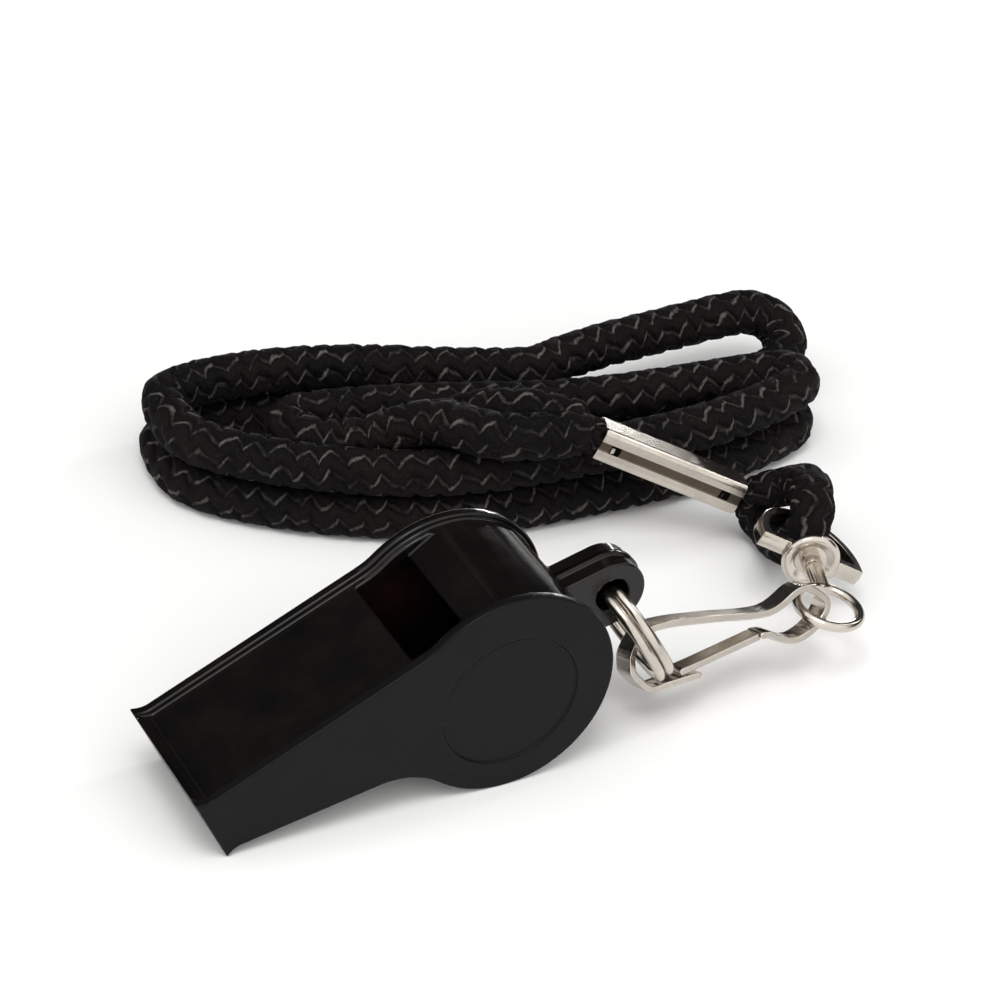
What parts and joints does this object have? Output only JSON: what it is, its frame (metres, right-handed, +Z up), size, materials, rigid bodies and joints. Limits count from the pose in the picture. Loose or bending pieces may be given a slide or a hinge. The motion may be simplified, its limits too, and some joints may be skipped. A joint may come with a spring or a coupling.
{
  "type": "sports whistle with lanyard",
  "caption": "Plastic pea whistle with a flat mouthpiece and round drum, on a split ring and a spring hook with a swivel, with its crimped braided neck cord laid in a hank.",
  "frame": {"origin": "on the floor, under the middle of the whistle with its split ring", "axes": "+X from the mouth to the lug, +Z up, +Y from the near side cover to the far side"},
  "size_m": [0.1115, 0.0758, 0.025],
  "materials": {
    "body_plastic": "glossy moulded plastic",
    "cork": "matt cork",
    "nickel": "nickel plated",
    "cord": "braided synthetic cord"
  },
  "bodies": {
    "lanyard": {"crimp_sleeve": "nickel", "crimped_cord": "cord", "lanyard_bight": "cord", "lanyard_hank": "cord"},
    "bail": {"swivel_bail": "nickel", "swivel_cap": "nickel"},
    "swivel": {"swivel_ring": "nickel"},
    "hook": {"hook_frame": "nickel"},
    "gate": {"hook_gate": "nickel"},
    "ring": {"split_ring": "nickel"},
    "whistle": {"body_shell": "body_plastic", "side_cover": "body_plastic"},
    "pea": {"pea": "cork"}
  },
  "joints": [
    {"name": "bail_tilt", "type": "hinge", "parent": "lanyard", "child": "bail", "pos_m": [0.05728, 0.01383, 0.0079], "axis": [0.8488, -0.2956, -0.4384], "range_deg": [-15, 15]},
    {"name": "swivel_spin", "type": "hinge", "parent": "bail", "child": "swivel", "pos_m": [0.05452, 0.0059, 0.0079], "axis": [0.3289, 0.9444, 0], "continuous": true},
    {"name": "hook_swing", "type": "hinge", "parent": "swivel", "child": "hook", "pos_m": [0.04862, -0.0023, 0.0082], "axis": [0.0395, -0.9206, 0.3886], "range_deg": [-15, 15]},
    {"name": "gate_flex", "type": "hinge", "parent": "hook", "child": "gate", "pos_m": [0.04177, -0.00299, 0.00727], "axis": [-0.0395, 0.9206, -0.3886], "range_deg": [0, 14], "stiffness_Nm_per_rad": 0.004},
    {"name": "ring_swing", "type": "hinge", "parent": "hook", "child": "ring", "pos_m": [0.02874, -0.00274, 0.00604], "axis": [0.1011, 0.978, -0.1828], "range_deg": [-20, 20]},
    {"name": "whistle_swing", "type": "hinge", "parent": "ring", "child": "whistle", "pos_m": [0.0223, 0, 0.01711], "axis": [0, 1, 0], "range_deg": [-20, 20]},
    {"name": "pea_roll", "type": "hinge", "parent": "whistle", "child": "pea", "pos_m": [0.00672, 0, 0.0125], "axis": [0, 1, 0], "continuous": true}
  ]
}
